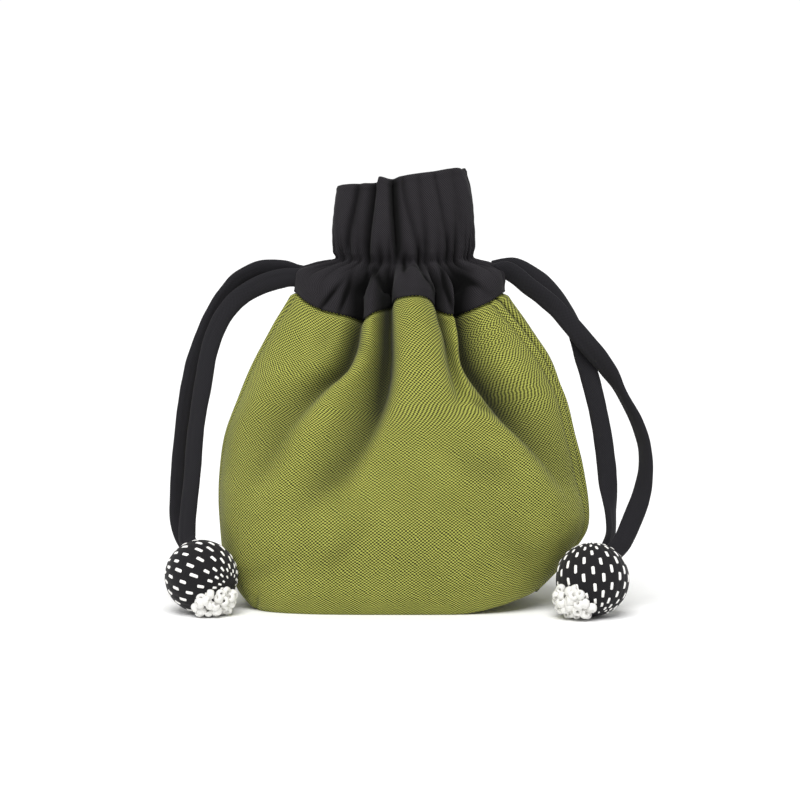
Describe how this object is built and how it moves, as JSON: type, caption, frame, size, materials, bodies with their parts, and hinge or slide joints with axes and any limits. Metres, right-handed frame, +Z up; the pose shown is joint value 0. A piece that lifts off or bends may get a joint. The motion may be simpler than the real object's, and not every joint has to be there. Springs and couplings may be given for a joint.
{
  "type": "drawstring pouch",
  "caption": "Small standing cloth pouch with a gathered neck and frill, closed by two drawcords that end in stitched cloth balls with bead clusters.",
  "frame": {"origin": "middle of the pouch's bottom, on the surface that it stands on, without the hanging cords", "axes": "+Z up, +X to the pouch's right as seen from the front, -Y towards the front"},
  "size_m": [0.202, 0.0936, 0.1819],
  "materials": {
    "green_cloth": "matte woven, olive green thread crossed with a dark thread",
    "black_cloth": "matte, fine plain weave",
    "cord_cloth": "matte, a sewn tube of fine plain weave",
    "stitched_cloth": "matte, with rows of white running stitches",
    "white_beads": "glossy"
  },
  "bodies": {
    "root": {"front_panel": "green_cloth", "back_panel": "green_cloth", "neck_band": "black_cloth", "neck_frill": "black_cloth", "drawcord_left_in_tunnel": "cord_cloth", "drawcord_right_in_tunnel": "cord_cloth", "cord_left_front": "cord_cloth", "cord_left_back": "cord_cloth", "cord_right_front": "cord_cloth", "cord_right_back": "cord_cloth", "ball_left": "stitched_cloth", "ball_right": "stitched_cloth", "bead_cluster_left": "white_beads", "bead_cluster_right": "white_beads"}
  },
  "joints": []
}
